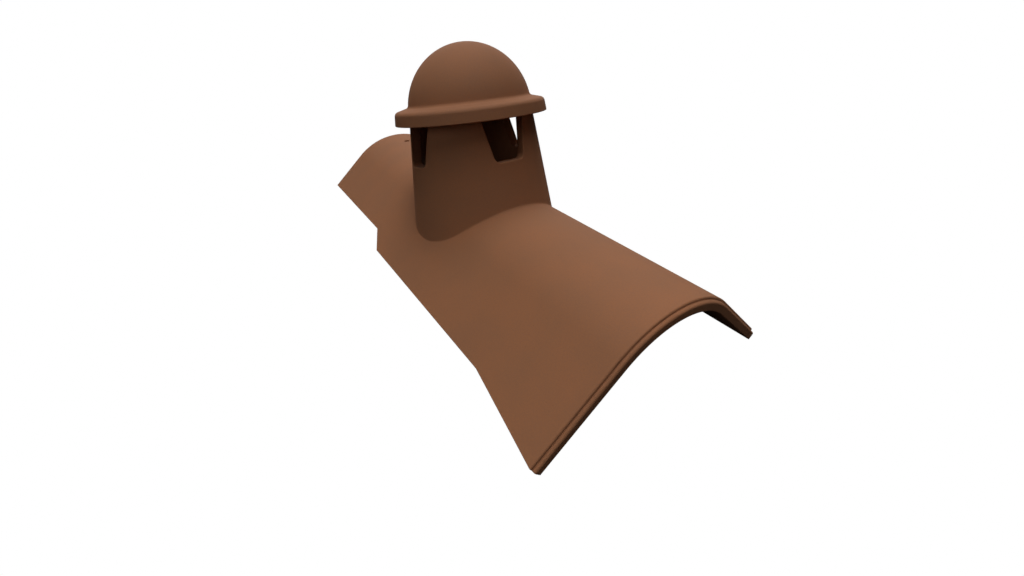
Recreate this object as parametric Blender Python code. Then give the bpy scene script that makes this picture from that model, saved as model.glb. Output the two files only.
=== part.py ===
"""Ridge tile with a leaning ventilation shaft and a loose domed cap, in fired clay.

The tile is modelled with its crest along +Y. The front end, which covers the next tile, is
at y = 0, and the top of the crest is at z = 0. The shaft and the cap are modelled about
the shaft's own axis. An empty then sets the whole object down on its four lowest corners,
with the origin under the middle of its box.
"""

import math

import bmesh
import bpy
from mathutils import Matrix, Vector

# Tile, in metres and radians
TILE_LENGTH = 0.500
WALL = 0.0098
CREST_RADIUS = 0.0858
WING_SLOPE = math.radians(40.6)
FRONT_WING = 0.0865
BODY_WING = 0.0708
SPIGOT_WING = 0.0537
FLARE_END = 0.0886
STEP_START = 0.3072
STEP_END = 0.3359
LIP_LENGTH = 0.0025
LIP_STEP = 0.0032
NAIL_HOLE_Y = 0.4605
NAIL_HOLE_RADIUS = 0.0033
CREST_SEGMENTS = 20
HOLE_SEGMENTS = 16

# Shaft, measured along its own axis from the level of the crest
SHAFT_Y = 0.2618
SHAFT_LEAN = math.radians(10.26)
SHAFT_RADIUS = 0.0699
SHAFT_TAPER = 0.135
SHAFT_TOP = 0.0717
FOOT_FILLET = 0.005
FILLET_BITE = 0.0001
FILLET_SEGMENTS = 4
FOOT_DEPTH = 0.004
FOOT_INSET = 0.7
FLUE_BOTTOM = -0.12
TURNED_SEGMENTS = 56

# Windows, open at the top
SILL_HEIGHT = 0.0311
WINDOW_HALF_WIDTH = 0.0150
WINDOW_SPREAD = 0.180
WINDOW_CORNER = 0.0030
CORNER_SEGMENTS = 4

# Cap, measured along the shaft's axis from the level of the crest
CAP_GAP = 0.0003
DOME_CENTRE = 0.0718
DOME_RADIUS = 0.0603
DOME_WALL = 0.0093
COVE_RADIUS = 0.0035
BRIM_FALL = math.radians(14.0)
BRIM_TOP = 0.0807
BRIM_TOP_RADIUS = 0.0625
SHOULDER_RADIUS = 0.0045
SKIRT_BOTTOM = 0.0665
SKIRT_RADIUS = 0.0747
SKIRT_DRAFT = 0.155
SKIRT_WALL = 0.0092
EDGE_ROUND = 0.0008
DOME_SEGMENTS = 14
COVE_SEGMENTS = 4

# Fired clay as linear colour
CLAY_COLOUR = (0.19, 0.085, 0.040, 1.0)
CAP_COLOUR = (0.185, 0.083, 0.039, 1.0)
CLAY_ROUGHNESS = 0.78

# How far helper solids run past what they cut, and the longest sliver of an edge to merge
OVERRUN = 0.03
SLIVER = 0.000002
SHARP_ANGLE = math.radians(32)


def clear_scene():
    """Remove every object of the open file."""
    for thing in list(bpy.data.objects):
        bpy.data.objects.remove(thing, do_unlink=True)


def clay(name, colour):
    """A matt fired-clay material."""
    material = bpy.data.materials.new(name)
    material.use_nodes = True
    shader = material.node_tree.nodes["Principled BSDF"]
    shader.inputs["Base Color"].default_value = colour
    shader.inputs["Roughness"].default_value = CLAY_ROUGHNESS
    shader.inputs["Metallic"].default_value = 0.0
    return material


def add_mesh(name, points, faces):
    """An object made of points and faces, with its faces turned outwards."""
    shape = bmesh.new()
    vertices = [shape.verts.new(point) for point in points]
    for face in faces:
        shape.faces.new([vertices[index] for index in face])
    bmesh.ops.recalc_face_normals(shape, faces=shape.faces)
    mesh = bpy.data.meshes.new(name)
    shape.to_mesh(mesh)
    shape.free()
    thing = bpy.data.objects.new(name, mesh)
    bpy.context.scene.collection.objects.link(thing)
    return thing


def helper(thing):
    """Mark a solid that only cuts or joins another."""
    thing.hide_render = True
    thing.display_type = "WIRE"
    return thing


def combine(target, operation, tool):
    """Join the tool to the target, or cut it out, and keep the result as the target's mesh."""
    modifier = target.modifiers.new(operation.lower(), "BOOLEAN")
    modifier.operation = operation
    modifier.solver = "EXACT"
    modifier.object = helper(tool)
    graph = bpy.context.evaluated_depsgraph_get()
    result = bpy.data.meshes.new_from_object(target.evaluated_get(graph))
    target.modifiers.clear()
    target.data = result
    bpy.data.objects.remove(tool, do_unlink=True)
    merge_slivers(target)


def merge_slivers(thing):
    """Take out edges and faces too thin to matter, which would spoil the next cut."""
    shape = bmesh.new()
    shape.from_mesh(thing.data)
    bmesh.ops.remove_doubles(shape, verts=shape.verts, dist=SLIVER)
    bmesh.ops.dissolve_degenerate(shape, edges=shape.edges, dist=SLIVER)
    shape.to_mesh(thing.data)
    shape.free()


def finish(thing, material):
    """Shade round faces smooth, keep real edges sharp, and give the material."""
    mesh = thing.data
    mesh.materials.clear()
    mesh.materials.append(material)
    mesh.shade_smooth()
    mesh.set_sharp_from_angle(angle=SHARP_ANGLE)


def arc(centre, radius, start, end, steps):
    """Points of an arc in a plane, from the start angle to the end angle."""
    points = []
    for step in range(steps + 1):
        angle = start + (end - start) * step / steps
        points.append(
            (centre[0] + radius * math.cos(angle), centre[1] + radius * math.sin(angle))
        )
    return points


def rounded_corner(before, corner, after, radius, steps):
    """Points of the arc that rounds a corner between two straight lines."""
    corner = Vector(corner)
    back = (Vector(before) - corner).normalized()
    ahead = (Vector(after) - corner).normalized()
    half = back.angle(ahead) / 2
    centre = corner + (back + ahead).normalized() * (radius / math.sin(half))
    start = corner + back * (radius / math.tan(half)) - centre
    end = corner + ahead * (radius / math.tan(half)) - centre
    first = math.atan2(start.y, start.x)
    turn = math.remainder(math.atan2(end.y, end.x) - first, 2 * math.pi)
    return arc(centre, radius, first, first + turn, steps)


def crest_girth():
    """Length of the outer surface from the crest line to where a wing begins."""
    return CREST_RADIUS * WING_SLOPE


def wing_length(y):
    """Straight length of a wing, which flares at the front and steps in at the spigot."""
    if y <= FLARE_END:
        return FRONT_WING + (BODY_WING - FRONT_WING) * y / FLARE_END
    if y <= STEP_START:
        return BODY_WING
    if y <= STEP_END:
        share = (y - STEP_START) / (STEP_END - STEP_START)
        return BODY_WING + (SPIGOT_WING - BODY_WING) * share
    return SPIGOT_WING


def tile_point(girth, y, depth):
    """Point of the tile at a distance round it from the crest line, and at a depth below
    its outer surface."""
    side = math.copysign(1.0, girth)
    round_part = min(abs(girth), crest_girth())
    straight_part = abs(girth) - round_part
    angle = round_part / CREST_RADIUS
    radius = CREST_RADIUS - depth
    x = radius * math.sin(angle) + straight_part * math.cos(angle)
    z = radius * math.cos(angle) - straight_part * math.sin(angle) - CREST_RADIUS
    return Vector((side * x, y, z))


def tile_section(y, outer_depth):
    """Closed section of the tile: its outer surface from left to right, then its inner one."""
    wing_end = crest_girth() + wing_length(y)
    girths = [-wing_end]
    for step in range(CREST_SEGMENTS + 1):
        girths.append(crest_girth() * (2 * step / CREST_SEGMENTS - 1))
    girths.append(wing_end)
    outer = [tile_point(girth, y, outer_depth) for girth in girths]
    inner = [tile_point(girth, y, WALL) for girth in reversed(girths)]
    return outer + inner


def tile_plate():
    """The bent plate of the tile, with the stepped lip at its front end."""
    sections = [
        tile_section(0.0, LIP_STEP),
        tile_section(LIP_LENGTH, LIP_STEP),
        tile_section(LIP_LENGTH, 0.0),
        tile_section(FLARE_END, 0.0),
        tile_section(STEP_START, 0.0),
        tile_section(STEP_END, 0.0),
        tile_section(TILE_LENGTH, 0.0),
    ]
    count = len(sections[0])
    # The two sections at the lip's step share their inner points.
    places = {}
    rows = []
    for section in sections:
        rows.append([places.setdefault(tuple(point), len(places)) for point in section])
    faces = []
    for near_row, far_row in zip(rows, rows[1:]):
        for index in range(count):
            after = (index + 1) % count
            face = [near_row[index], near_row[after], far_row[after], far_row[index]]
            corners = list(dict.fromkeys(face))
            if len(corners) > 2:
                faces.append(corners)
    for row in (rows[0], rows[-1]):
        for index in range(count // 2 - 1):
            opposite = count - 1 - index
            faces.append([row[index], row[index + 1], row[opposite - 1], row[opposite]])
    return add_mesh("ridge_tile_with_shaft", list(places), faces)


def shaft_frame():
    """Matrix from the shaft's own frame to the tile's."""
    return Matrix.Translation((0, SHAFT_Y, 0)) @ Matrix.Rotation(-SHAFT_LEAN, 4, "X")


def shaft_radius(height):
    """Outer radius of the shaft at a height along its axis."""
    return SHAFT_RADIUS - SHAFT_TAPER * height


def clearance(point):
    """Distance of a point above the tile's outer surface, and the surface's direction there."""
    x = abs(point.x)
    rise = point.z + CREST_RADIUS
    angle = min(math.atan2(x, rise), WING_SLOPE)
    distance = x * math.sin(angle) + rise * math.cos(angle) - CREST_RADIUS
    side = math.copysign(1.0, point.x)
    return distance, Vector((side * math.sin(angle), 0, math.cos(angle)))


def fillet_ball(azimuth):
    """Where a ball of the fillet's size rests between the shaft and the tile."""
    frame = shaft_frame()
    outward = Vector((math.cos(azimuth), math.sin(azimuth), SHAFT_TAPER)).normalized()
    outward = frame.to_3x3() @ outward
    low = FLUE_BOTTOM
    high = SHAFT_TOP
    for _ in range(40):
        height = (low + high) / 2
        radius = shaft_radius(height)
        touch = frame @ Vector(
            (radius * math.cos(azimuth), radius * math.sin(azimuth), height)
        )
        centre = touch + outward * FOOT_FILLET
        if clearance(centre)[0] > FOOT_FILLET - FILLET_BITE:
            high = height
        else:
            low = height
    return centre, outward, clearance(centre)[1]


def shaft_solid():
    """The tapered shaft with a small fillet round its foot, closed inside the tile's wall."""
    frame = shaft_frame()
    crest_point = Vector((0, SHAFT_Y, 0))
    top_radius = shaft_radius(SHAFT_TOP)
    rings = []
    for step in range(TURNED_SEGMENTS):
        azimuth = 2 * math.pi * step / TURNED_SEGMENTS
        centre, outward, upward = fillet_ball(azimuth)
        top = Vector(
            (top_radius * math.cos(azimuth), top_radius * math.sin(azimuth), SHAFT_TOP)
        )
        column = [frame @ top]
        for share in range(FILLET_SEGMENTS + 1):
            direction = (-outward).slerp(-upward, share / FILLET_SEGMENTS)
            column.append(centre + direction * FOOT_FILLET)
        toe = column[-1]
        column.append(toe - upward * FOOT_DEPTH)
        # A ring inside the flue keeps the closed foot in the thickness of the tile.
        inside = crest_point.lerp(toe, FOOT_INSET)
        inside.z = surface_height(inside.x) - FOOT_DEPTH
        column.append(inside)
        rings.append(column)
    points = [point for column in rings for point in column]
    rows = len(rings[0])
    faces = []
    for step in range(TURNED_SEGMENTS):
        after = (step + 1) % TURNED_SEGMENTS
        for row in range(rows - 1):
            here = step * rows + row
            there = after * rows + row
            faces.append([here, there, there + 1, here + 1])
    top_centre = len(points)
    points.append(frame @ Vector((0, 0, SHAFT_TOP)))
    foot_centre = len(points)
    points.append(Vector((0, SHAFT_Y, -FOOT_DEPTH)))
    for step in range(TURNED_SEGMENTS):
        after = (step + 1) % TURNED_SEGMENTS
        faces.append([step * rows, after * rows, top_centre])
        faces.append([step * rows + rows - 1, after * rows + rows - 1, foot_centre])
    return add_mesh("shaft_solid", points, faces)


def surface_height(x):
    """Height of the tile's outer surface at a distance from its middle."""
    tangent = CREST_RADIUS * math.sin(WING_SLOPE)
    if abs(x) < tangent:
        return math.sqrt(CREST_RADIUS**2 - x**2) - CREST_RADIUS
    fall = (abs(x) - tangent) * math.tan(WING_SLOPE)
    return CREST_RADIUS * (math.cos(WING_SLOPE) - 1) - fall


def turned(name, profile, segments):
    """A closed solid turned about Z from a profile of (radius, height) that starts and ends
    on the axis."""
    points = [Vector((0, 0, profile[0][1]))]
    for radius, height in profile[1:-1]:
        for step in range(segments):
            azimuth = 2 * math.pi * step / segments
            points.append(
                Vector((radius * math.cos(azimuth), radius * math.sin(azimuth), height))
            )
    points.append(Vector((0, 0, profile[-1][1])))
    last = len(points) - 1
    rows = len(profile) - 2
    faces = []
    for step in range(segments):
        after = (step + 1) % segments
        faces.append([0, 1 + step, 1 + after])
        for row in range(rows - 1):
            upper = 1 + row * segments
            lower = upper + segments
            faces.append([upper + step, upper + after, lower + after, lower + step])
        lowest = 1 + (rows - 1) * segments
        faces.append([lowest + step, lowest + after, last])
    return add_mesh(name, points, faces)


def flue():
    """The hollow of the shaft, which runs out below the tile and above the posts."""
    low = FLUE_BOTTOM
    high = SHAFT_TOP + OVERRUN
    wall = WALL * math.sqrt(1 + SHAFT_TAPER**2)
    profile = [
        (0, high),
        (shaft_radius(high) - wall, high),
        (shaft_radius(low) - wall, low),
        (0, low),
    ]
    tool = turned("flue", profile, TURNED_SEGMENTS)
    tool.data.transform(shaft_frame())
    return tool


def window_outline():
    """Outline of a window, wider at the top, with rounded lower corners."""
    top = SHAFT_TOP + OVERRUN
    low_half = WINDOW_HALF_WIDTH
    high_half = low_half + WINDOW_SPREAD * (top - SILL_HEIGHT)
    right_side = rounded_corner(
        (0, SILL_HEIGHT),
        (low_half, SILL_HEIGHT),
        (high_half, top),
        WINDOW_CORNER,
        CORNER_SEGMENTS,
    )
    left_side = [(-x, height) for x, height in reversed(right_side)]
    return left_side + right_side + [(high_half, top), (-high_half, top)]


def window_pair(quarter_turns):
    """A prism that cuts two opposite windows."""
    outline = window_outline()
    reach = SHAFT_RADIUS + OVERRUN
    count = len(outline)
    points = [Vector((x, -reach, height)) for x, height in outline]
    points += [Vector((x, reach, height)) for x, height in outline]
    faces = [list(range(count)), list(range(count, 2 * count))]
    for index in range(count):
        after = (index + 1) % count
        faces.append([index, after, count + after, count + index])
    tool = add_mesh("window_pair", points, faces)
    turn = Matrix.Rotation(quarter_turns * math.pi / 2, 4, "Z")
    tool.data.transform(shaft_frame() @ turn)
    return tool


def nail_hole():
    """A round pin through the crest near the spigot's end."""
    profile = [
        (0, OVERRUN),
        (NAIL_HOLE_RADIUS, OVERRUN),
        (NAIL_HOLE_RADIUS, -OVERRUN),
        (0, -OVERRUN),
    ]
    tool = turned("nail_hole", profile, HOLE_SEGMENTS)
    tool.data.transform(Matrix.Translation((0, NAIL_HOLE_Y, 0)))
    return tool


def ridge_tile_with_shaft():
    """Tile and shaft as the one piece of clay that they are."""
    piece = tile_plate()
    merge_slivers(piece)
    combine(piece, "UNION", shaft_solid())
    combine(piece, "DIFFERENCE", flue())
    for quarter_turns in (0, 1):
        combine(piece, "DIFFERENCE", window_pair(quarter_turns))
    combine(piece, "DIFFERENCE", nail_hole())
    finish(piece, clay("brown_clay_tile", CLAY_COLOUR))
    return piece


def cove_centre():
    """Centre of the hollow curve between the dome and the brim's sloping top."""
    across = Vector((math.sin(BRIM_FALL), math.cos(BRIM_FALL)))
    along = Vector((math.cos(BRIM_FALL), -math.sin(BRIM_FALL)))
    middle = Vector((0, DOME_CENTRE))
    height = (Vector((BRIM_TOP_RADIUS, BRIM_TOP)) - middle).dot(across) + COVE_RADIUS
    reach = DOME_RADIUS + COVE_RADIUS
    return middle + across * height + along * math.sqrt(reach**2 - height**2)


def cap_profile():
    """Profile of the hollow cap: down its outside, across the skirt and seat, up inside."""
    centre = cove_centre()
    dome_end = math.atan2(centre.y - DOME_CENTRE, centre.x)
    outer = arc((0, DOME_CENTRE), DOME_RADIUS, math.pi / 2, dome_end, DOME_SEGMENTS)
    cove_start = dome_end + math.pi
    cove_end = 1.5 * math.pi - BRIM_FALL
    cove = arc(centre, COVE_RADIUS, cove_start, cove_end, COVE_SEGMENTS)
    brim = Vector((BRIM_TOP_RADIUS, BRIM_TOP))
    along = Vector((math.cos(BRIM_FALL), -math.sin(BRIM_FALL)))
    skirt_foot = Vector((SKIRT_RADIUS, SKIRT_BOTTOM))
    skirt = Vector((-SKIRT_DRAFT, 1.0))
    # The shoulder's corner is where the brim's top line meets the skirt's line.
    share = (skirt_foot - brim).cross(skirt) / along.cross(skirt)
    corner = brim + along * share
    shoulder = rounded_corner(brim, corner, skirt_foot, SHOULDER_RADIUS, COVE_SEGMENTS)
    inner_radius = SKIRT_RADIUS - SKIRT_WALL
    outer_foot = rounded_corner(
        corner, skirt_foot, (inner_radius, SKIRT_BOTTOM), EDGE_ROUND, 1
    )
    seat = SHAFT_TOP + CAP_GAP
    hollow_radius = DOME_RADIUS - DOME_WALL
    hollow_start = math.asin((seat - DOME_CENTRE) / hollow_radius)
    hollow = arc(
        (0, DOME_CENTRE), hollow_radius, hollow_start, math.pi / 2, DOME_SEGMENTS - 2
    )
    inside = [
        (inner_radius, SKIRT_BOTTOM),
        (inner_radius - SKIRT_DRAFT * (seat - SKIRT_BOTTOM), seat),
    ]
    profile = outer[:-1] + cove + shoulder + outer_foot + inside + hollow
    profile[0] = (0, profile[0][1])
    profile[-1] = (0, profile[-1][1])
    return profile


def domed_cap():
    """The loose cap, which rests on the four posts."""
    piece = turned("domed_cap", cap_profile(), TURNED_SEGMENTS)
    piece.data.transform(shaft_frame())
    finish(piece, clay("brown_clay_cap", CAP_COLOUR))
    return piece


def resting_frame():
    """Rotation that sets the tile down on the corners of its front and of its body."""
    front = tile_point(crest_girth() + wing_length(0), 0, WALL)
    back = tile_point(crest_girth() + wing_length(STEP_START), STEP_START, WALL)
    pitch = math.atan2(back.z - front.z, back.y - front.y)
    return Matrix.Rotation(-pitch, 4, "X")


def place(pieces):
    """Stand the pieces on their resting corners, over the middle of their box."""
    stand = bpy.data.objects.new("cowl", None)
    bpy.context.scene.collection.objects.link(stand)
    turn = resting_frame()
    corners = [turn @ vertex.co for piece in pieces for vertex in piece.data.vertices]
    shift = []
    for axis in range(3):
        values = [corner[axis] for corner in corners]
        shift.append(-(min(values) + max(values)) / 2)
    shift[2] = -min(corner.z for corner in corners)
    stand.matrix_world = Matrix.Translation(shift) @ turn
    for piece in pieces:
        piece.parent = stand


def main():
    """Build the two pieces and stand them at rest."""
    clear_scene()
    place([ridge_tile_with_shaft(), domed_cap()])


if __name__ == "__main__":
    main()
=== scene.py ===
"""Looks of a fired-clay ridge tile with a leaning vent shaft and a loose domed cap.

The two clay pieces are modelled with Blender's own edit tools about the ridge and about the
shaft's axis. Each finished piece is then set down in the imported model's frame, where it takes the
place of the plainer solid of the same form. Lengths are in metres and angles in radians.
"""

import logging
import math
from collections.abc import Callable, Iterator
from contextlib import contextmanager
from dataclasses import dataclass
from enum import Enum

import bmesh
import bpy
from mathutils import Matrix, Vector


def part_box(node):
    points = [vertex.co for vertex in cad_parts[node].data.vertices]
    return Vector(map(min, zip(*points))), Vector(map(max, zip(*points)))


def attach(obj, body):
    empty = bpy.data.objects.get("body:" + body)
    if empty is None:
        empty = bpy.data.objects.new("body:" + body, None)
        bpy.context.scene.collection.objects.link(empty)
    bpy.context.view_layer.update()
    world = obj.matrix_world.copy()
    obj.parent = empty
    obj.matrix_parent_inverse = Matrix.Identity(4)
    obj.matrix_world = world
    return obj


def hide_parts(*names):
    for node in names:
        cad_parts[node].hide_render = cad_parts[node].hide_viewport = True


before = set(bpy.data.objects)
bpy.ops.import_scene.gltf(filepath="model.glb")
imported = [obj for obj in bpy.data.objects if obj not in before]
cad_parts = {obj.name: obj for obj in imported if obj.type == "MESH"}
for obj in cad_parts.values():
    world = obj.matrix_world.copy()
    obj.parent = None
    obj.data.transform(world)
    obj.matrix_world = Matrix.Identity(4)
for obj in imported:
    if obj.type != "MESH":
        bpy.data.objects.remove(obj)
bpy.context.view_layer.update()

BODY = "root"
TILE_NODE = "ridge_tile_with_shaft"
CAP_NODE = "domed_cap"

# The edge attribute from which the Bevel modifier takes its weights.
ROUNDING_LAYER = "bevel_weight_edge"

# Points this close are on each other, are one after an operation, or are one before the edges of
# the openings are rounded.
TOUCH = 1e-5
SLIVER = 2e-6
CLEAN = 4e-5

# How far a cutting solid reaches past what it cuts.
OVERRUN = 0.03

# Edges that turn further than the first are rounded, and those that turn less than the second
# are shaded smooth.
SHARP = math.radians(25)
SMOOTH = math.radians(38)

log = logging.getLogger("ridge_cowl")


class Element(Enum):
    """The kinds of mesh element, as Blender's select modes name them."""

    VERTEX = "VERT"
    EDGE = "EDGE"
    FACE = "FACE"


class Work(Enum):
    """What a second solid does to the piece on the bench."""

    JOIN = "UNION"
    CUT = "DIFFERENCE"


class Side(Enum):
    """The two wings of the tile, by their sign along X."""

    LEFT = -1
    RIGHT = 1


def middle(part: bmesh.types.BMEdge | bmesh.types.BMFace) -> Vector:
    """Return the mean place of the corners of an edge or a face."""
    return sum((corner.co for corner in part.verts), Vector()) / len(part.verts)


def is_sharp(edge: bmesh.types.BMEdge) -> bool:
    """Return whether the surface turns a clear corner at an edge."""
    return len(edge.link_faces) == 2 and edge.calc_face_angle(0.0) > SHARP


class Workpiece:
    """A mesh on the bench, shaped with Blender's edit operators."""

    def __init__(self, name: str) -> None:
        """Take the object that was just added as the piece.

        Args:
            name: The object's new name.
        """
        self.thing = bpy.context.object
        self.thing.name = name
        self.apply_place()

    @classmethod
    def grid(cls, name: str, columns: int, rows: int, place: Matrix) -> "Workpiece":
        """Add a flat sheet of cells, one unit wide and long before it is placed.

        Args:
            name: The piece's name.
            columns: The number of cells along X.
            rows: The number of cells along Y.
            place: The matrix that gives the sheet its size and place.

        Returns:
            The placed sheet.
        """
        bpy.ops.mesh.primitive_grid_add(x_subdivisions=columns, y_subdivisions=rows, size=1)
        piece = cls(name)
        piece.transform(place)
        return piece

    @classmethod
    def cone(
        cls, name: str, columns: int, low: tuple[float, float], high: tuple[float, float], capped: bool
    ) -> "Workpiece":
        """Add a cone's frustum about Z.

        Args:
            name: The piece's name.
            columns: The number of sides.
            low: The radius and the height of the lower rim.
            high: The radius and the height of the upper rim.
            capped: Whether both ends are closed.

        Returns:
            The frustum.
        """
        bpy.ops.mesh.primitive_cone_add(
            vertices=columns,
            radius1=low[0],
            radius2=high[0],
            depth=high[1] - low[1],
            end_fill_type="NGON" if capped else "NOTHING",
            location=(0, 0, (low[1] + high[1]) / 2),
        )
        return cls(name)

    @classmethod
    def block(cls, name: str, size: Vector, centre: Vector) -> "Workpiece":
        """Add a box of a size about a centre."""
        bpy.ops.mesh.primitive_cube_add(size=1, location=centre, scale=size)
        return cls(name)

    @classmethod
    def point(cls, name: str, place: Vector) -> "Workpiece":
        """Add a single vertex, from which a profile is drawn.

        Args:
            name: The piece's name.
            place: Where the vertex is.

        Returns:
            The piece, with its one vertex.
        """
        bpy.ops.mesh.primitive_plane_add(size=1)
        piece = cls(name)
        with piece.editing():
            bpy.ops.mesh.select_all(action="SELECT")
            bpy.ops.mesh.merge(type="CENTER")
            bpy.ops.transform.translate(value=place)
        return piece

    def hold(self) -> None:
        """Leave this object alone selected and active."""
        bpy.ops.object.select_all(action="DESELECT")
        self.thing.select_set(True)
        bpy.context.view_layer.objects.active = self.thing

    def apply_place(self) -> None:
        """Put the object's place, turn and scale into its mesh."""
        self.hold()
        bpy.ops.object.transform_apply(location=True, rotation=True, scale=True)

    def transform(self, matrix: Matrix) -> None:
        """Move the mesh by a matrix, and keep the object itself at the origin."""
        self.thing.matrix_world = matrix @ self.thing.matrix_world
        self.apply_place()

    @contextmanager
    def editing(self) -> Iterator[None]:
        """Open the mesh in edit mode with nothing selected, and close it afterwards."""
        self.hold()
        bpy.ops.object.mode_set(mode="EDIT")
        bpy.ops.mesh.select_mode(type=Element.VERTEX.value)
        bpy.ops.mesh.select_all(action="DESELECT")
        try:
            yield
        finally:
            bpy.ops.object.mode_set(mode="OBJECT")

    def select(self, element: Element, test: Callable[..., bool]) -> None:
        """Select the elements that pass a test, and nothing else.

        Args:
            element: The kind of element that is looked at.
            test: Says of one vertex, edge or face whether it is wanted.
        """
        bpy.ops.mesh.select_mode(type=element.value)
        bpy.ops.mesh.select_all(action="DESELECT")
        shape = bmesh.from_edit_mesh(self.thing.data)
        parts = {
            Element.VERTEX: shape.verts,
            Element.EDGE: shape.edges,
            Element.FACE: shape.faces,
        }
        wanted = [part for part in parts[element] if test(part)]
        for part in wanted:
            part.select_set(True)
        shape.select_flush_mode()
        bmesh.update_edit_mesh(self.thing.data, loop_triangles=False, destructive=False)

    def extrude(self, shift: Vector) -> None:
        """Extrude what is selected and move the new part by a shift."""
        bpy.ops.mesh.extrude_region_move(TRANSFORM_OT_translate={"value": tuple(shift)})

    def spin(self, angle: float, steps: int, centre: Vector, axis: Vector) -> None:
        """Spin what is selected about an axis.

        Args:
            angle: The whole turn.
            steps: The number of facets round the turn.
            centre: A point on the axis.
            axis: The axis's direction.
        """
        # The operator turns clockwise, so the angle changes sign.
        bpy.ops.mesh.spin(steps=steps, angle=-angle, center=tuple(centre), axis=tuple(axis))

    def reshape(self, rule: Callable[[Vector], Vector]) -> None:
        """Give every vertex a new place by a rule.

        Args:
            rule: Gives the new place of a vertex from its old one.
        """
        shape = bmesh.new()
        shape.from_mesh(self.thing.data)
        for corner in shape.verts:
            corner.co = rule(corner.co.copy())
        shape.to_mesh(self.thing.data)
        shape.free()

    def weld(self, distance: float) -> None:
        """Merge points closer together than a distance, and drop faces without area.

        Args:
            distance: The distance below which points are one.
        """
        with self.editing():
            bpy.ops.mesh.select_all(action="SELECT")
            bpy.ops.mesh.remove_doubles(threshold=distance)
            bpy.ops.mesh.select_all(action="SELECT")
            bpy.ops.mesh.dissolve_degenerate(threshold=distance)

    def face_outwards(self) -> None:
        """Turn every face of the closed mesh outwards."""
        with self.editing():
            bpy.ops.mesh.select_all(action="SELECT")
            bpy.ops.mesh.normals_make_consistent(inside=False)
            if bmesh.from_edit_mesh(self.thing.data).calc_volume(signed=True) < 0:
                bpy.ops.mesh.flip_normals()

    def apply(self, kind: str, **settings: object) -> None:
        """Add a modifier and make its result the mesh.

        Args:
            kind: The modifier's type.
            **settings: Its settings, by their names.
        """
        modifier = self.thing.modifiers.new(kind.lower(), kind)
        for name, value in settings.items():
            setattr(modifier, name, value)
        self.hold()
        bpy.ops.object.modifier_apply(modifier=modifier.name)

    def combine(self, work: Work, tool: "Workpiece") -> None:
        """Join another solid to this one or cut it out, and use the other up.

        Args:
            work: Whether the other is joined or cut out.
            tool: The other solid.
        """
        self.apply("BOOLEAN", operation=work.value, solver="EXACT", object=tool.thing)
        bpy.data.objects.remove(tool.thing, do_unlink=True)
        self.weld(SLIVER)

    def round_edges(self, width: Callable[[bmesh.types.BMEdge], float], facets: int) -> None:
        """Round edges, each by its own width, with clean corners where they meet.

        Args:
            width: Gives the rounding's width at an edge, or 0 for an edge that stays.
            facets: The number of facets across each rounding.
        """
        shape = bmesh.new()
        shape.from_mesh(self.thing.data)
        layers = shape.edges.layers.float
        weight = layers.get(ROUNDING_LAYER) or layers.new(ROUNDING_LAYER)
        widths = [width(edge) for edge in shape.edges]
        widest = max(widths)
        for edge, own in zip(shape.edges, widths):
            edge[weight] = own / widest
        shape.to_mesh(self.thing.data)
        shape.free()
        self.apply(
            "BEVEL",
            width=widest,
            segments=facets,
            limit_method="WEIGHT",
            use_clamp_overlap=False,
            loop_slide=False,
        )

    def smooth(self) -> None:
        """Shade round faces smooth, and let the larger faces set the normals."""
        self.hold()
        bpy.ops.object.shade_smooth_by_angle(angle=SMOOTH)
        self.apply("WEIGHTED_NORMAL", keep_sharp=True)


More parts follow.
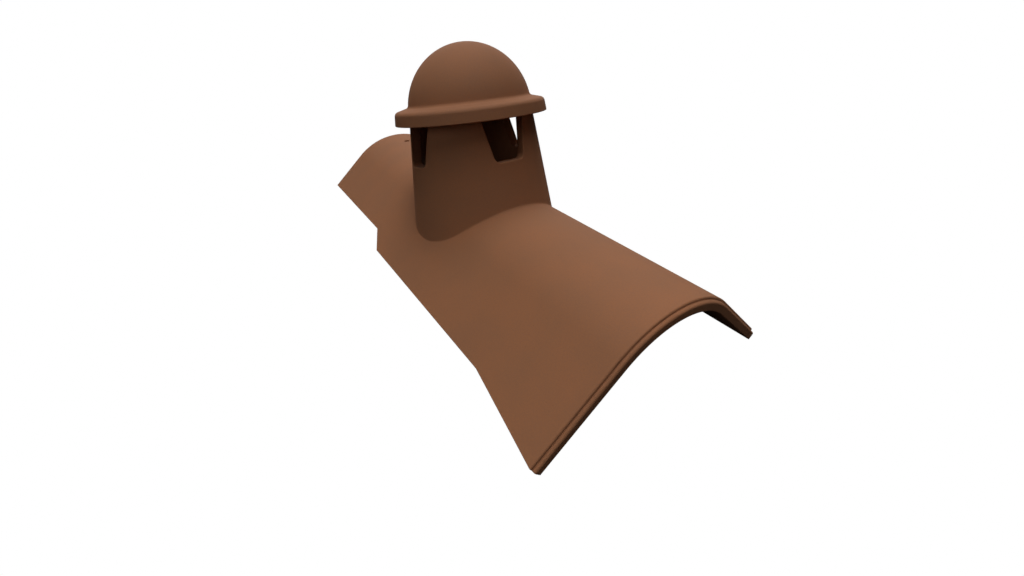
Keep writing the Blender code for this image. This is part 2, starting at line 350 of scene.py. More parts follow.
@dataclass
class RidgeTile:
    """The bent ridge tile: a round crest between two flat wings.

    Its own frame has the front end at y = 0, the ridge along +Y and the top of the crest at
    z = 0. Depths are measured inwards from the outer surface.
    """

    length: float = 0.500
    wall: float = 0.0098
    crest_radius: float = 0.0858
    slope: float = math.radians(40.6)
    front_wing: float = 0.0865
    body_wing: float = 0.0708
    spigot_wing: float = 0.0537
    flare_end: float = 0.0886
    step_start: float = 0.3072
    step_end: float = 0.3359
    lip_length: float = 0.0029
    lip_step: float = 0.0023
    lip_rounding: float = 0.0020
    nail_place: float = 0.4605
    nail_radius: float = 0.0033
    edge_strip: float = 0.006
    crest_facets: int = 48
    wing_cells: int = 10
    pitch: float = 0.006
    shoulder_rounding: float = 0.0014
    groove_rounding: float = 0.0008
    arris_rounding: float = 0.0005
    nail_rounding: float = 0.0008
    facets: int = 6
    arris_facets: int = 4

    @property
    def crest_axis(self) -> Vector:
        """A point on the line about which the crest is round."""
        return Vector((0, 0, -self.crest_radius))

    def down_wing(self, side: Side) -> Vector:
        """Return the direction down a wing, square to the ridge."""
        return Vector((side.value * math.cos(self.slope), 0, -math.sin(self.slope)))

    def off_wing(self, side: Side) -> Vector:
        """Return the outward direction of a wing's surface."""
        return Vector((side.value * math.sin(self.slope), 0, math.cos(self.slope)))

    def root(self, side: Side, depth: float = 0.0) -> Vector:
        """Return where a wing leaves the crest, at a depth."""
        return self.crest_axis + self.off_wing(side) * (self.crest_radius - depth)

    def wing_length(self, y: float) -> float:
        """Return a wing's straight length, which flares at the front and steps in behind.

        Args:
            y: The distance along the ridge.

        Returns:
            The length from the end of the crest to the wing's cut edge.
        """
        if y <= self.flare_end:
            return self.front_wing + (self.body_wing - self.front_wing) * y / self.flare_end
        share = (y - self.step_start) / (self.step_end - self.step_start)
        share = min(1.0, max(0.0, share))
        return self.body_wing + (self.spigot_wing - self.body_wing) * share

    def wing_corner(self, side: Side, y: float, depth: float) -> Vector:
        """Return the corner of a wing's cut edge, before it is rounded."""
        corner = self.root(side, depth) + self.down_wing(side) * self.wing_length(y)
        return corner + Vector((0, y, 0))

    def outward_reach(self, point: Vector) -> tuple[Vector, float]:
        """Find how far out from the crest's axis a point lies, square to the outer surface.

        Args:
            point: A point in the tile's frame.

        Returns:
            The direction square to the outer surface, and the distance along it.
        """
        side = Side.RIGHT if point.x > 0 else Side.LEFT
        arm = point - self.crest_axis
        arm.y = 0
        if arm.dot(self.down_wing(side)) > 0:
            return self.off_wing(side), arm.dot(self.off_wing(side))
        return arm.normalized(), arm.length

    def depth(self, point: Vector) -> float:
        """Return how far a point lies inside the outer surface."""
        return self.crest_radius - self.outward_reach(point)[1]

    def outward(self, point: Vector) -> Vector:
        """Return the direction square to the outer surface at a point."""
        return self.outward_reach(point)[0]

    def section(self) -> Workpiece:
        """Make the tile's cross-section as a sheet two cells thick, at the root of the lip.

        Returns:
            The sheet, from the left wing's end over the crest to the right wing's.
        """
        even = self.spigot_wing - self.edge_strip
        down = self.down_wing(Side.LEFT)
        off = self.off_wing(Side.LEFT)
        centre = self.root(Side.LEFT, self.wall / 2) + down * (even / 2)
        centre.y = self.lip_length
        turn = Matrix((down, off, down.cross(off))).transposed().to_4x4()
        size = Matrix.Diagonal((even, self.wall, 1, 1))
        place = Matrix.Translation(centre) @ turn @ size
        sheet = Workpiece.grid("clay_ridge_tile", self.wing_cells, 2, place)
        with sheet.editing():
            half = self.wall / 2
            sheet.select(Element.VERTEX, lambda v: abs(self.depth(v.co) - half) < half / 2)
            bpy.ops.transform.translate(value=off * (half - self.lip_step))
            self.bend_crest(sheet)
            self.draw_right_wing(sheet, even)
            for side in Side:
                self.select_strip_end(sheet, side, even)
                sheet.extrude(self.down_wing(side) * (self.wing_length(self.lip_length) - even))
        return sheet

    def bend_crest(self, sheet: Workpiece) -> None:
        """Spin the left wing's root over the crest to where the right wing begins."""
        self.select_strip_end(sheet, Side.LEFT, 0.0)
        sheet.spin(2 * self.slope, self.crest_facets, self.crest_axis, Vector((0, 1, 0)))

    def draw_right_wing(self, sheet: Workpiece, even: float) -> None:
        """Extrude the right wing's even cells from the end of the crest.

        Args:
            sheet: The section so far.
            even: The length that the even cells fill.
        """
        down = self.down_wing(Side.RIGHT)
        for cell in range(self.wing_cells):
            self.select_strip_end(sheet, Side.RIGHT, even * cell / self.wing_cells)
            sheet.extrude(down * (even / self.wing_cells))

    def select_strip_end(self, sheet: Workpiece, side: Side, reach: float) -> None:
        """Select the edges across the wall at a distance down a wing.

        Args:
            sheet: The section.
            side: Which wing.
            reach: The distance from the end of the crest.
        """
        down = self.down_wing(side)
        root = self.root(side)

        def lies_there(edge: bmesh.types.BMEdge) -> bool:
            """Say whether both ends of an edge lie at the distance."""
            return all(
                corner.co.x * side.value > 0 and abs((corner.co - root).dot(down) - reach) < TOUCH
                for corner in edge.verts
            )

        sheet.select(Element.EDGE, lies_there)

    def plate(self) -> Workpiece:
        """Draw the section out along the ridge, with its flare, step and lip.

        Returns:
            The closed plate of the tile, its long and end edges rounded.
        """
        plate = self.section()
        runs = [self.lip_length, self.flare_end, self.step_start, self.step_end, self.length]
        with plate.editing():
            bpy.ops.mesh.select_all(action="SELECT")
            for start, end in zip(runs, runs[1:]):
                if start > self.lip_length:
                    self.select_end(plate, start)
                plate.extrude(Vector((0, end - start, 0)))
                self.move_wing_ends(plate, end, self.wing_length(end) - self.wing_length(start))
            for start, end in zip(runs, runs[1:]):
                self.divide_run(plate, start, end)
            plate.select(
                Element.FACE,
                lambda face: self.lies_at(face, self.lip_length)
                and self.depth(middle(face)) > self.lip_step,
            )
            plate.extrude(Vector((0, -self.lip_length, 0)))
        plate.weld(TOUCH)
        plate.face_outwards()
        plate.round_edges(self.lip_edge_rounding, self.facets)
        plate.weld(SLIVER)
        plate.round_edges(self.arris, self.arris_facets)
        plate.weld(SLIVER)
        return plate

    def lies_at(self, part: bmesh.types.BMEdge | bmesh.types.BMFace, y: float) -> bool:
        """Return whether all of an edge or a face lies at a distance along the ridge."""
        return all(abs(corner.co.y - y) < TOUCH for corner in part.verts)

    def select_end(self, plate: Workpiece, y: float) -> None:
        """Select the end faces at a distance along the ridge."""
        plate.select(Element.FACE, lambda face: self.lies_at(face, y))

    def move_wing_ends(self, plate: Workpiece, y: float, growth: float) -> None:
        """Lengthen or shorten both wings at one place along the ridge.

        Args:
            plate: The tile so far.
            y: The place along the ridge.
            growth: What each wing gains in length.
        """
        if not growth:
            return
        for side in Side:
            down = self.down_wing(side)
            root = self.root(side)
            even = self.spigot_wing - self.edge_strip
            plate.select(
                Element.VERTEX,
                lambda v: abs(v.co.y - y) < TOUCH
                and v.co.x * side.value > 0
                and (v.co - root).dot(down) > even + TOUCH,
            )
            bpy.ops.transform.translate(value=down * growth)

    def divide_run(self, plate: Workpiece, start: float, end: float) -> None:
        """Divide a straight run of the tile into cells of an even length.

        Args:
            plate: The tile so far.
            start: Where the run starts.
            end: Where it ends.
        """
        plate.select(
            Element.EDGE,
            lambda edge: abs(abs(edge.verts[0].co.y - edge.verts[1].co.y) - (end - start)) < TOUCH
            and abs(middle(edge).y - (start + end) / 2) < TOUCH,
        )
        bpy.ops.mesh.subdivide(number_cuts=max(1, round((end - start) / self.pitch)))

    def lip_edge_rounding(self, edge: bmesh.types.BMEdge) -> float:
        """Return how widely an edge across the lip is rounded, or 0 for any other edge.

        Args:
            edge: An edge of the plate.

        Returns:
            The rounding's width: at the bead, at the shoulder or in the groove.
        """
        if not is_sharp(edge):
            return 0.0
        deep = self.depth(middle(edge))
        if self.lies_at(edge, 0.0) and abs(deep - self.lip_step) < CLEAN:
            return self.lip_rounding
        if not self.lies_at(edge, self.lip_length) or self.runs_inwards(edge):
            return 0.0
        return self.shoulder_rounding if deep < self.lip_step / 2 else self.groove_rounding

    def runs_inwards(self, edge: bmesh.types.BMEdge) -> bool:
        """Return whether an edge runs through the wall, from a lesser to a greater depth."""
        start, end = (self.depth(corner.co) for corner in edge.verts)
        return abs(start - end) > CLEAN

    def arris(self, edge: bmesh.types.BMEdge) -> float:
        """Return how widely a remaining sharp edge of the plate is rounded, or 0 where there is none."""
        return self.arris_rounding if is_sharp(edge) else 0.0

    def nail_pin(self) -> Workpiece:
        """Make the round pin that cuts the nail hole.

        Returns:
            The pin, square to the crest.
        """
        rim = (self.nail_radius, -OVERRUN)
        pin = Workpiece.cone("nail_pin", self.crest_facets, rim, (self.nail_radius, OVERRUN), True)
        pin.transform(Matrix.Translation((0, self.nail_place, 0)))
        return pin

    def nail_rim_rounding(self, edge: bmesh.types.BMEdge) -> float:
        """Return how widely an edge of the nail hole is rounded, or 0 for any other edge.

        Args:
            edge: An edge of the piece, in the tile's frame.

        Returns:
            The rounding's width.
        """
        point = middle(edge)
        reach = math.hypot(point.x, point.y - self.nail_place)
        return self.nail_rounding if is_sharp(edge) and reach < self.nail_radius + CLEAN else 0.0

    def stand(self) -> Matrix:
        """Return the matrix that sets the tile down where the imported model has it.

        Returns:
            The matrix from the tile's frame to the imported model's.
        """
        front = self.wing_corner(Side.RIGHT, 0.0, self.wall)
        back = self.wing_corner(Side.RIGHT, self.step_start, self.wall)
        turn = Matrix.Rotation(-math.atan2(back.z - front.z, back.y - front.y), 4, "X")
        low = Vector(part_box(TILE_NODE)[0])
        crest = turn @ Vector((0, 0, -self.wall))
        corners = [turn @ front, crest, turn @ Vector((0, 0, -self.lip_step))]
        shift = Vector((0, low.y - min(c.y for c in corners), low.z - min(c.z for c in corners)))
        return Matrix.Translation(shift) @ turn


@dataclass
class Shaft:
    """The leaning, tapered shaft with windows that are open at its top.

    Its own frame has its axis along +Z, with the origin on the tile's crest line.
    """

    tile: RidgeTile
    place: float = 0.2618
    lean: float = math.radians(10.26)
    radius_at_crest: float = 0.0699
    taper: float = 0.135
    top: float = 0.0717
    foot_fillet: float = 0.0028
    fillet_bite: float = 0.0001
    foot_depth: float = 0.004
    foot_inset: float = 0.7
    foot_rim_share: float = 0.9
    flue_bottom: float = -0.12
    sill: float = 0.0296
    window_half: float = 0.0150
    window_spread: float = 0.180
    window_corner: float = 0.0055
    outer_rounding: float = 0.0011
    inner_rounding: float = 0.0007
    columns: int = 112
    fillet_facets: int = 8
    corner_facets: int = 6
    facets: int = 3

    @property
    def frame(self) -> Matrix:
        """The matrix from the shaft's own frame to the tile's."""
        return Matrix.Translation((0, self.place, 0)) @ Matrix.Rotation(-self.lean, 4, "X")

    @property
    def wall(self) -> float:
        """The wall's thickness, measured level across the shaft."""
        return self.tile.wall * math.sqrt(1 + self.taper**2)

    def radius(self, height: float) -> float:
        """Return the outer radius at a height along the axis."""
        return self.radius_at_crest - self.taper * height

    def fillet_ball(self, azimuth: float) -> tuple[Vector, Vector, Vector]:
        """Find where a ball of the fillet's size rests between the shaft and the tile.

        Args:
            azimuth: The direction from the axis, from +X towards +Y.

        Returns:
            The ball's centre, the shaft's outward direction and the tile's, in the tile's frame.
        """
        out = Vector((math.cos(azimuth), math.sin(azimuth), self.taper)).normalized()
        out = self.frame.to_3x3() @ out
        low, high = self.flue_bottom, self.top
        while high - low > SLIVER / 10:
            height = (low + high) / 2
            reach = self.radius(height)
            touch = Vector((reach * math.cos(azimuth), reach * math.sin(azimuth), height))
            centre = self.frame @ touch + out * self.foot_fillet
            if -self.tile.depth(centre) > self.foot_fillet - self.fillet_bite:
                high = height
            else:
                low = height
        return centre, out, self.tile.outward(centre)

    def column_point(self, azimuth: float, ring: int) -> Vector:
        """Return a point of the solid shaft's side, by its column and its ring from the top.

        Args:
            azimuth: The column's direction from the axis.
            ring: The ring, from 0 at the top.

        Returns:
            The point, in the tile's frame.
        """
        if ring == 0:
            reach = self.radius(self.top)
            return self.frame @ Vector((reach * math.cos(azimuth), reach * math.sin(azimuth), self.top))
        centre, out, up = self.fillet_ball(azimuth)
        share = min(1.0, (ring - 1) / self.fillet_facets)
        point = centre + (-out).slerp(-up, share) * self.foot_fillet
        sunk = ring > self.fillet_facets + 1
        return point - up * (self.foot_depth if sunk else 0.0)

    def solid(self) -> Workpiece:
        """Make the whole shaft as a solid, with a fillet round its foot.

        Returns:
            A solid in the tile's frame, whose closed foot lies inside the tile's wall.
        """
        # A tube with a ring at each whole number down stands in for the side, until each point
        # is moved to its column and ring.
        rings = self.fillet_facets + 2
        body = Workpiece.cone("shaft", self.columns, (1.0, -1.0), (1.0, 0.0), False)
        with body.editing():
            for ring in range(1, rings):
                halfway = 0.5 - ring
                body.select(Element.EDGE, lambda e: all(v.co.z < halfway for v in e.verts))
                body.extrude(Vector((0, 0, -1)))
        body.reshape(lambda p: self.column_point(math.atan2(p.y, p.x), round(-p.z)))
        foot_ring = [self.column_point(2 * math.pi * c / self.columns, rings) for c in range(self.columns)]
        with body.editing():
            body.select(Element.EDGE, lambda e: len(e.link_faces) == 1 and middle(e).z > self.top / 2)
            bpy.ops.mesh.edge_face_add()
            body.select(Element.EDGE, lambda e: len(e.link_faces) == 1)
            body.extrude(Vector((0, 0, 0)))
            inset = self.foot_inset
            bpy.ops.transform.resize(value=(inset, inset, 1.0), center_override=(0, self.place, 0))
            body.extrude(Vector((0, 0, 0)))
            bpy.ops.mesh.merge(type="CENTER")
        body.reshape(lambda p: self.keep_foot_in_wall(p, foot_ring))
        body.weld(SLIVER)
        body.face_outwards()
        return body

    def keep_foot_in_wall(self, point: Vector, foot_ring: list[Vector]) -> Vector:
        """Sink a point of the closed foot to the foot's depth below the tile's surface.

        Args:
            point: A point of the solid shaft.
            foot_ring: The points of the foot's rim.

        Returns:
            The point's new place, or its old one outside the foot.
        """
        reach = min(Vector((p.x, p.y - self.place)).length for p in foot_ring)
        away = Vector((point.x, point.y - self.place)).length
        if away > self.foot_rim_share * reach or point.z > 0:
            return point
        out = self.tile.outward(point)
        return point + out * (self.tile.depth(point) - self.foot_depth)

    def flue(self) -> Workpiece:
        """Make the cone that cuts the hollow of the shaft through the tile.

        Returns:
            The cone, in the tile's frame.
        """
        high = self.top + OVERRUN
        low_rim = (self.radius(self.flue_bottom) - self.wall, self.flue_bottom)
        tool = Workpiece.cone("flue", self.columns, low_rim, (self.radius(high) - self.wall, high), True)
        tool.transform(self.frame)
        return tool

    def window_pair(self, quarter_turns: int) -> Workpiece:
        """Make the prism that cuts two opposite windows.

        Args:
            quarter_turns: How far the pair is turned about the axis.

        Returns:
            The prism, in the tile's frame.
        """
        high = self.top + OVERRUN
        reach = 2 * (self.radius_at_crest + OVERRUN)
        height = high - self.sill
        spread = self.window_half + self.window_spread * height
        tool = Workpiece.block(
            "windows", Vector((2 * spread, reach, height)), Vector((0, 0, self.sill + height / 2))
        )
        lean = math.pi / 2 + math.atan(self.window_spread)
        with tool.editing():
            tool.select(Element.FACE, lambda face: middle(face).z < self.sill + TOUCH)
            narrow = self.window_half / spread
            bpy.ops.transform.resize(value=(narrow, 1, 1), center_override=(0, 0, self.sill))
            tool.select(
                Element.EDGE,
                lambda e: middle(e).z < self.sill + TOUCH and abs(middle(e).x) > TOUCH,
            )
            bpy.ops.mesh.bevel(
                offset=self.window_corner / math.tan(lean / 2), segments=self.corner_facets, affect="EDGES"
            )
        tool.transform(self.frame @ Matrix.Rotation(quarter_turns * math.pi / 2, 4, "Z"))
        return tool

    def edge_rounding(self, edge: bmesh.types.BMEdge) -> float:
        """Return how widely an edge of the windows, posts or flue is rounded.

        Args:
            edge: An edge of the piece, in the tile's frame.

        Returns:
            The rounding's width, or 0 for an edge that stays.
        """
        if not is_sharp(edge):
            return 0.0
        point = self.frame.inverted() @ middle(edge)
        reach = Vector((point.x, point.y)).length
        if point.z > self.sill - self.window_corner:
            near_outside = self.radius(point.z) - reach < self.wall / 2
            return self.outer_rounding if near_outside else self.inner_rounding
        inside = abs(self.radius(point.z) - self.wall - reach) < self.wall / 4
        return self.inner_rounding if inside else 0.0


@dataclass
class RidgeTileWithShaft:
    """The first piece: the ridge tile and the shaft, made as one piece of clay."""

    tile: RidgeTile
    shaft: Shaft

    def build(self) -> Workpiece:
        """Join the shaft to the tile, cut the openings and round what was cut.

        Returns:
            The finished piece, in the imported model's frame.
        """
        piece = self.tile.plate()
        piece.combine(Work.JOIN, self.shaft.solid())
        piece.combine(Work.CUT, self.shaft.flue())
        for quarter_turns in range(2):
            piece.combine(Work.CUT, self.shaft.window_pair(quarter_turns))
        piece.combine(Work.CUT, self.tile.nail_pin())
        piece.weld(CLEAN)
        piece.round_edges(
            lambda edge: max(self.shaft.edge_rounding(edge), self.tile.nail_rim_rounding(edge)),
            self.shaft.facets,
        )
        piece.weld(SLIVER)
        piece.transform(self.tile.stand())
        piece.smooth()
        return piece


@dataclass
class DomedCap:
    """The second piece: the loose hollow cap that rests on the shaft's four posts.

    Heights are measured along the shaft's axis from the crest of the tile.
    """

    shaft: Shaft
    gap: float = 0.0003
    dome_centre: float = 0.0718
    dome_radius: float = 0.0603
    dome_wall: float = 0.0093
    cove_radius: float = 0.0035
    brim_fall: float = math.radians(14.0)
    brim_top: float = 0.0807
    brim_top_radius: float = 0.0625
    shoulder_radius: float = 0.0045
    skirt_bottom: float = 0.0665
    skirt_radius: float = 0.0747
    skirt_draft: float = 0.155
    skirt_wall: float = 0.0092
    edge_rounding: float = 0.0008
    columns: int = 144
    dome_facets: int = 40
    cove_facets: int = 8
    facets: int = 3

    @property
    def brim_point(self) -> Vector:
        """A point on the brim's top, as a radius and a height."""
        return Vector((self.brim_top_radius, self.brim_top))

    @property
    def down_brim(self) -> Vector:
        """The direction outwards along the brim's top."""
        return Vector((math.cos(self.brim_fall), -math.sin(self.brim_fall)))

    @property
    def off_brim(self) -> Vector:
        """The upward direction, square to the brim's top."""
        return Vector((math.sin(self.brim_fall), math.cos(self.brim_fall)))

    def cove_centre(self) -> Vector:
        """Find the centre of the hollow curve between the dome and the brim's top.

        Returns:
            The centre, as a radius and a height.
        """
        centre = Vector((0, self.dome_centre))
        height = (self.brim_point - centre).dot(self.off_brim) + self.cove_radius
        reach = self.dome_radius + self.cove_radius
        return centre + self.off_brim * height + self.down_brim * math.sqrt(reach**2 - height**2)

    def shoulder(self) -> tuple[Vector, Vector]:
        """Find the rounding between the brim's top and the skirt.

        Returns:
            Where the rounding starts on the brim, and its centre, each as a radius and a height.
        """
        along = self.down_brim
        foot = Vector((self.skirt_radius, self.skirt_bottom))
        up_skirt = Vector((-self.skirt_draft, 1.0))
        share = (foot - self.brim_point).cross(up_skirt) / along.cross(up_skirt)
        corner = self.brim_point + along * share
        half = (-along).angle(-up_skirt) / 2
        start = corner - along * (self.shoulder_radius / math.tan(half))
        return start, start - self.off_brim * self.shoulder_radius

    def build(self) -> Workpiece:
        """Draw the cap's profile and turn it about the shaft's axis.

        Returns:
            The finished piece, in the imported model's frame.
        """
        piece = Workpiece.point("clay_domed_cap", Vector((0, 0, self.dome_centre + self.dome_radius)))
        with piece.editing():
            self.draw_outside(piece)
            self.draw_inside(piece)
            bpy.ops.mesh.select_all(action="SELECT")
            piece.spin(2 * math.pi, self.columns, Vector(), Vector((0, 0, 1)))
        piece.weld(TOUCH)
        piece.face_outwards()
        piece.round_edges(lambda edge: self.edge_rounding * is_sharp(edge), self.facets)
        piece.weld(SLIVER)
        piece.transform(self.shaft.tile.stand() @ self.shaft.frame)
        piece.smooth()
        return piece

    def draw_outside(self, piece: Workpiece) -> None:
        """Draw the dome, the cove at its foot, the brim and the skirt, from the pole down.

        Args:
            piece: The profile, with its one vertex at the pole.
        """
        cove = self.cove_centre()
        dome_end = math.atan2(cove.y - self.dome_centre, cove.x)
        bpy.ops.mesh.select_all(action="SELECT")
        self.draw_arc(piece, Vector((0, self.dome_centre)), math.pi / 2, dome_end, self.dome_facets)
        self.draw_arc(piece, cove, dome_end + math.pi, 1.5 * math.pi - self.brim_fall, self.cove_facets)
        start, centre = self.shoulder()
        self.draw_line(piece, start)
        turn_end = math.atan(self.skirt_draft)
        self.draw_arc(piece, centre, math.pi / 2 - self.brim_fall, turn_end, self.cove_facets)
        self.draw_line(piece, Vector((self.skirt_radius, self.skirt_bottom)))

    def draw_inside(self, piece: Workpiece) -> None:
        """Draw the skirt's foot, its inner side, the seat and the hollow, up to the pole.

        Args:
            piece: The profile, drawn as far as the skirt's foot.
        """
        inner = self.skirt_radius - self.skirt_wall
        seat = self.shaft.top + self.gap
        hollow = self.dome_radius - self.dome_wall
        start = math.asin((seat - self.dome_centre) / hollow)
        self.draw_line(piece, Vector((inner, self.skirt_bottom)))
        self.draw_line(piece, Vector((inner - self.skirt_draft * (seat - self.skirt_bottom), seat)))
        self.draw_line(piece, Vector((hollow * math.cos(start), seat)))
        self.draw_arc(piece, Vector((0, self.dome_centre)), start, math.pi / 2, self.dome_facets)

    def draw_line(self, piece: Workpiece, end: Vector) -> None:
        """Extrude the profile's last point to a radius and a height.

        Args:
            piece: The profile so far.
            end: The radius and the height.
        """
        shape = bmesh.from_edit_mesh(piece.thing.data)
        last = next(corner for corner in shape.verts if corner.select)
        piece.extrude(Vector((end.x, 0, end.y)) - last.co)

    def draw_arc(self, piece: Workpiece, centre: Vector, start: float, end: float, facets: int) -> None:
        """Spin the profile's last point about a centre, from one angle to another."""
        piece.spin(end - start, facets, Vector((centre.x, 0, centre.y)), Vector((0, -1, 0)))


class Thread:
    """An output of a shader's node tree, on which plain arithmetic makes Math nodes."""

    def __init__(self, tree: bpy.types.NodeTree, socket: bpy.types.NodeSocket) -> None:
        """Take an output socket.

        Args:
            tree: The node tree that the socket is in.
            socket: The output that later nodes are fed from.
        """
        self.tree = tree
        self.socket = socket

    @classmethod
    def place(cls, tree: bpy.types.NodeTree, kind: str) -> "Thread":
        """Return a kind of coordinates: a point of an object, or a direction in the world."""
        return cls(tree, tree.nodes.new("ShaderNodeTexCoord").outputs[kind])

    def make(
        self, kind: str, output: str | int, feeds: dict[str | int, "Feed"], **settings: object
    ) -> "Thread":
        """Add any node to the tree.

        Args:
            kind: The node's type.
            output: The output that is returned.
            feeds: What goes into its inputs.
            **settings: The node's own settings.

        Returns:
            One of the new node's outputs.
        """
        node = self.tree.nodes.new(kind)
        for name, value in settings.items():
            setattr(node, name, value)
        for name, feed in feeds.items():
            connect(self.tree, node.inputs[name], feed)
        return Thread(self.tree, node.outputs[output])

    def math(self, operation: str, first: "Feed", second: "Feed") -> "Thread":
        """Add a Math node, or a Vector Math node where this is a colour or a vector."""
        kind = "ShaderNodeMath" if self.socket.type == "VALUE" else "ShaderNodeVectorMath"
        return self.make(kind, 0, {0: first, 1: second}, operation=operation)

    def __add__(self, other: "Feed") -> "Thread":
        """Return the sum."""
        return self.math("ADD", self, other)

    def __radd__(self, other: "Feed") -> "Thread":
        """Return the sum with a number in front."""
        return self.math("ADD", other, self)

    def __sub__(self, other: "Feed") -> "Thread":
        """Return the difference."""
        return self.math("SUBTRACT", self, other)

    def __rsub__(self, other: "Feed") -> "Thread":
        """Return a number less this."""
        return self.math("SUBTRACT", other, self)

    def __mul__(self, other: "Feed") -> "Thread":
        """Return the product."""
        return self.math("MULTIPLY", self, other)

    def __rmul__(self, other: "Feed") -> "Thread":
        """Return the product with a number in front."""
        return self.math("MULTIPLY", other, self)

    def dot(self, direction: tuple[float, float, float]) -> "Thread":
        """Return how far this vector points along a direction."""
        feeds = {0: self, 1: direction}
        return self.make("ShaderNodeVectorMath", "Value", feeds, operation="DOT_PRODUCT")

    def noise(self, size: float, detail: float) -> "Thread":
        """Return cloudy noise from 0 to 1, whose clouds are about as wide as a size."""
        feeds = {"Vector": self, "Scale": 1 / size, "Detail": detail}
        return self.make("ShaderNodeTexNoise", "Fac", feeds)

    def spots(self, size: float) -> "Thread":
        """Return the distance from the nearest of many scattered spots, in their own size."""
        return self.make("ShaderNodeTexVoronoi", "Distance", {"Vector": self, "Scale": 1 / size})

    def ramp(self, start: float, end: float) -> "Thread":
        """Return a soft step from 0 to 1 between two levels of this."""
        feeds = {"Value": self, "From Min": start, "From Max": end}
        return self.make("ShaderNodeMapRange", 0, feeds, interpolation_type="SMOOTHSTEP")

    def mix(self, low: "Feed", high: "Feed") -> "Thread":
        """Return a colour between two others, by this as the share of the second."""
        # The colours go in at a Mix node's sockets 6 and 7, and the result comes out at 2.
        return self.make("ShaderNodeMix", 2, {0: self, 6: low, 7: high}, data_type="RGBA")


Feed = Thread | float | tuple[float, ...]


def connect(tree: bpy.types.NodeTree, target: bpy.types.NodeSocket, feed: Feed) -> None:
    """Link a thread to an input, or set the input to a plain value.

    Args:
        tree: The node tree.
        target: The input.
        feed: The thread or the value.
    """
    if isinstance(feed, Thread):
        tree.links.new(feed.socket, target)
    else:
        target.default_value = feed


@dataclass(frozen=True)
class ClayFinish:
    """Matt brown fired clay, faintly clouded, with a fine sandy grain.

    Sizes are those of the real marks, in metres, and colours are linear.
    """

    name: str
    colour: tuple[float, float, float, float] = (0.42, 0.165, 0.065, 1.0)
    cloud_colour: tuple[float, float, float, float] = (0.385, 0.158, 0.066, 1.0)
    fleck_colour: tuple[float, float, float, float] = (0.26, 0.107, 0.047, 1.0)
    cloud_size: float = 0.045
    cloud_detail: float = 4.0
    grain_size: float = 0.0011
    grain_detail: float = 3.0
    noise_low: float = 0.3
    noise_high: float = 0.7
    fleck_size: float = 0.0042
    fleck_reach: float = 0.16
    fleck_strength: float = 0.35
    grain_contrast: float = 0.05
    roughness: float = 0.85
    roughness_spread: float = 0.12
    gloss: float = 0.8
    grain_height: float = 0.00004

    def make(self) -> bpy.types.Material:
        """Make the finish, on the object's own coordinates.

        Returns:
            The new material.
        """
        material = bpy.data.materials.new(self.name)
        material.use_nodes = True
        tree = material.node_tree
        shader = tree.nodes["Principled BSDF"]
        place = Thread.place(tree, "Object")
        clouds = place.noise(self.cloud_size, self.cloud_detail).ramp(self.noise_low, self.noise_high)
        flecks = self.fleck_strength * place.spots(self.fleck_size).ramp(self.fleck_reach, 0.0)
        grain = place.noise(self.grain_size, self.grain_detail)
        grain_step = grain.ramp(self.noise_low, self.noise_high)
        body = clouds.mix(self.colour, self.cloud_colour)
        shade = 1 + self.grain_contrast * (2 * grain_step - 1)
        connect(tree, shader.inputs["Base Color"], flecks.mix(body, self.fleck_colour) * shade)
        rough = self.roughness + self.roughness_spread * (grain_step - 0.5)
        connect(tree, shader.inputs["Roughness"], rough)
        connect(tree, shader.inputs["Specular IOR Level"], self.gloss)
        feeds = {"Height": grain, "Distance": self.grain_height, "Strength": 1.0}
        connect(tree, shader.inputs["Normal"], grain.make("ShaderNodeBump", 0, feeds))
        return material


@dataclass(frozen=True)
class SoftLamp:
    """A wide, even patch of light, far from the object.

    The azimuth is counted from +Y towards +X, and the width is the patch's angle across.
    """

    name: str
    azimuth: float
    elevation: float
    width: float
    strength: float

    def hang(self) -> None:
        """Add the lamp, pointing at the object."""
        data = bpy.data.lights.new(self.name, "SUN")
        data.energy = self.strength
        data.angle = math.radians(self.width)
        lamp = bpy.data.objects.new(self.name, data)
        turn = Matrix.Rotation(-math.radians(self.azimuth), 4, "Z")
        lean = Matrix.Rotation(-math.radians(90 - self.elevation), 4, "X")
        lamp.matrix_world = turn @ lean
        bpy.context.scene.collection.objects.link(lamp)


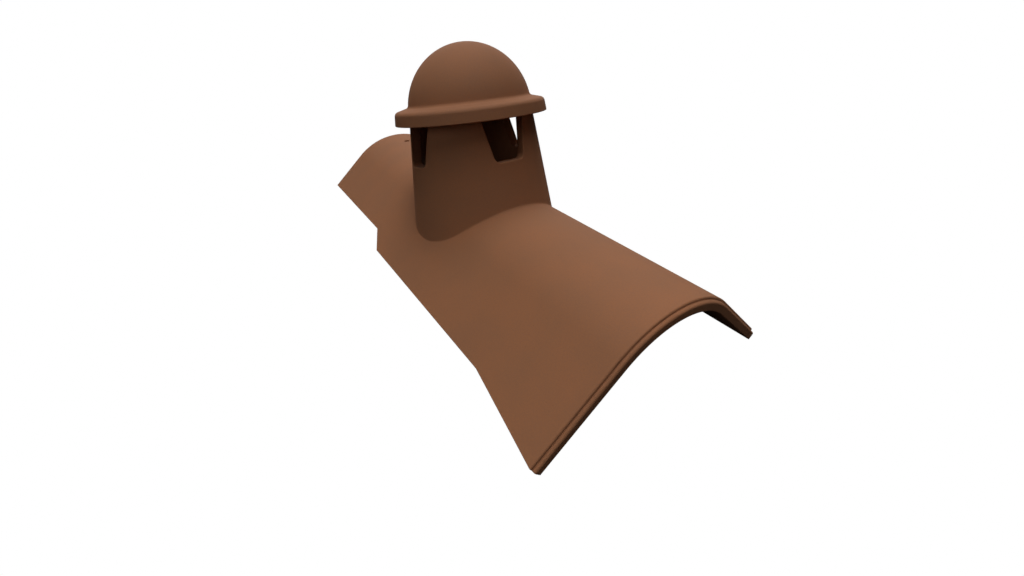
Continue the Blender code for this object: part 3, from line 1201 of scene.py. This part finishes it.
@dataclass
class Studio:
    """The white room, its soft light from above and the camera of the picture."""

    camera_place: tuple[float, float, float] = (-0.2156518, -0.3606192, 0.2533585)
    heading: float = math.radians(34.7839)
    downward: float = math.radians(36.0676)
    roll: float = math.radians(1.2746)
    lens: float = 14.9695
    near_clip: float = 0.01
    room_size: float = 40.0
    dome_columns: int = 48
    dome_rows: int = 24
    lamps: tuple[SoftLamp, ...] = (
        SoftLamp("overhead_lamp", 20, 76, 40, 1.03),
        SoftLamp("overhead_screen", 180, 80, 40, 0.62),
        SoftLamp("back_screen", 35, 20, 60, 0.68),
        SoftLamp("left_card", 270, 18, 36, 0.24),
        SoftLamp("front_card", 180, 15, 40, 0.04),
    )
    sky: float = 0.02
    sky_rise: float = 0.08

    def set_camera(self) -> None:
        """Add the camera at the photograph's place and angle."""
        data = bpy.data.cameras.new("camera")
        data.lens = self.lens
        data.clip_start = self.near_clip
        camera = bpy.data.objects.new("camera", data)
        turn = Matrix.Rotation(-self.heading, 4, "Z")
        tilt = Matrix.Rotation(math.pi / 2 - self.downward, 4, "X")
        roll = Matrix.Rotation(self.roll, 4, "Z")
        camera.matrix_world = Matrix.Translation(self.camera_place) @ turn @ tilt @ roll
        bpy.context.scene.collection.objects.link(camera)
        bpy.context.scene.camera = camera

    def set_room(self) -> None:
        """Lay the white floor and set a white dome over it, seen but throwing no light."""
        material = bpy.data.materials.new("white_room")
        material.use_nodes = True
        shader = material.node_tree.nodes["Principled BSDF"]
        shader.inputs["Base Color"].default_value = (0, 0, 0, 1)
        shader.inputs["Specular IOR Level"].default_value = 0.0
        shader.inputs["Emission Color"].default_value = (1, 1, 1, 1)
        shader.inputs["Emission Strength"].default_value = 1.0
        floor = Workpiece.grid("floor", 1, 1, Matrix.Scale(self.room_size, 4))
        bpy.ops.mesh.primitive_uv_sphere_add(
            segments=self.dome_columns, ring_count=self.dome_rows, radius=self.room_size / 2
        )
        for part in (floor, Workpiece("backdrop")):
            part.thing.data.materials.append(material)
            part.thing.visible_diffuse = False
            part.thing.visible_glossy = False
            part.thing.visible_shadow = False

    def set_sky(self) -> None:
        """Fill the shadows with a weak, even sky above the floor."""
        world = bpy.data.worlds.new("room_light")
        world.use_nodes = True
        tree = world.node_tree
        height = Thread.place(tree, "Generated").dot((0, 0, 1))
        glow = self.sky * height.ramp(0.0, self.sky_rise)
        connect(tree, tree.nodes["Background"].inputs["Color"], glow)
        bpy.context.scene.world = world

    def build(self) -> None:
        """Set up the room, the light, the camera and plain, untouched colours."""
        bpy.context.scene.view_settings.view_transform = "Standard"
        self.set_room()
        for lamp in self.lamps:
            lamp.hang()
        self.set_sky()
        self.set_camera()


def dress(piece: Workpiece, finish: ClayFinish, node: str) -> None:
    """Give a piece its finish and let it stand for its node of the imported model.

    Args:
        piece: The finished piece.
        finish: Its clay.
        node: The node's name.
    """
    piece.thing.data.materials.clear()
    piece.thing.data.materials.append(finish.make())
    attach(piece.thing, BODY)
    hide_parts(node)
    log.info("%s: %d faces", piece.thing.name, len(piece.thing.data.polygons))


def main() -> None:
    """Build the two pieces and the studio."""
    logging.basicConfig(level=logging.INFO, format="%(name)s: %(message)s")
    bpy.ops.object.select_all(action="DESELECT")
    tile = RidgeTile()
    shaft = Shaft(tile)
    dress(RidgeTileWithShaft(tile, shaft).build(), ClayFinish("brown_tile_clay"), TILE_NODE)
    dress(DomedCap(shaft).build(), ClayFinish("brown_cap_clay"), CAP_NODE)
    Studio().build()


if __name__ == "__main__":
    main()
